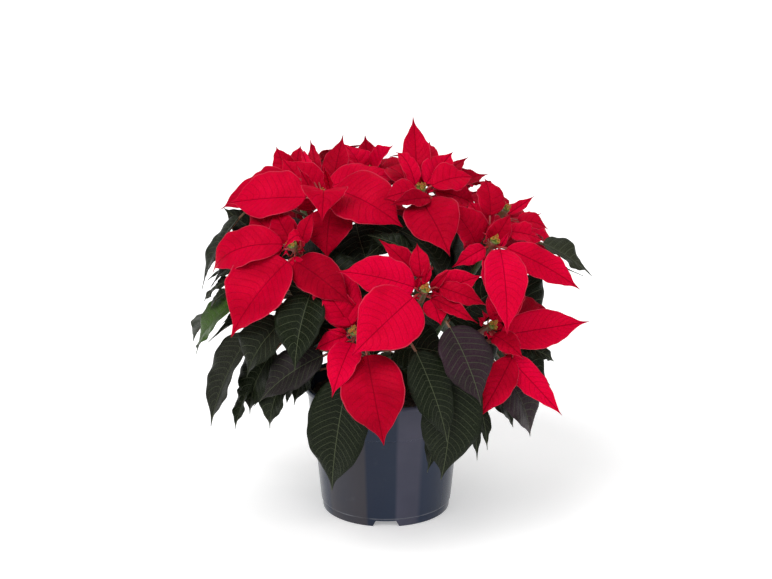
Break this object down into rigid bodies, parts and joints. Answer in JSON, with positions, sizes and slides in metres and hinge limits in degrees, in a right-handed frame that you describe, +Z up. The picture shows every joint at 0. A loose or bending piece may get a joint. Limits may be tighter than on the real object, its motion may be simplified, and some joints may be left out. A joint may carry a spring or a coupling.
{
  "type": "poinsettia",
  "caption": "Bushy potted poinsettia: red bracts round small yellow-green flower cups, dark green leaves, in a flared round plastic pot with a collar and a notched foot.",
  "frame": {"origin": "on the pot's axis, in the plane the pot stands on, below the middle of the whole plant", "axes": "+Z up along the pot's axis, -Y towards the plant's best side, +X to its right as seen from there"},
  "size_m": [0.401, 0.411, 0.4069],
  "materials": {
    "bracts": "soft red petal-like bracts with fine veins",
    "cyathia": "waxy yellow-green cups with red tips",
    "foliage": "dark green satin leaves with paler veins, green stems",
    "pot": "glossy blue-grey moulded plastic",
    "soil": "dark crumbly peat"
  },
  "bodies": {
    "root": {"bloom_01": "bracts", "bloom_01_cyathia": "cyathia", "bloom_02": "bracts", "bloom_02_cyathia": "cyathia", "bloom_03": "bracts", "bloom_03_cyathia": "cyathia", "bloom_04": "bracts", "bloom_04_cyathia": "cyathia", "bloom_05": "bracts", "bloom_05_cyathia": "cyathia", "bloom_06": "bracts", "bloom_06_cyathia": "cyathia", "bloom_07": "bracts", "bloom_07_cyathia": "cyathia", "bloom_08": "bracts", "bloom_08_cyathia": "cyathia", "bloom_09": "bracts", "bloom_09_cyathia": "cyathia", "bloom_10": "bracts", "bloom_10_cyathia": "cyathia", "bloom_11": "bracts", "bloom_11_cyathia": "cyathia", "bloom_12": "bracts", "bloom_12_cyathia": "cyathia", "bloom_13": "bracts", "bloom_13_cyathia": "cyathia", "bloom_14": "bracts", "bloom_14_cyathia": "cyathia", "bloom_15": "bracts", "bloom_15_cyathia": "cyathia", "plant_1": "foliage", "plant_2": "foliage", "plant_3": "foliage", "pot": "pot", "soil": "soil"}
  },
  "joints": []
}
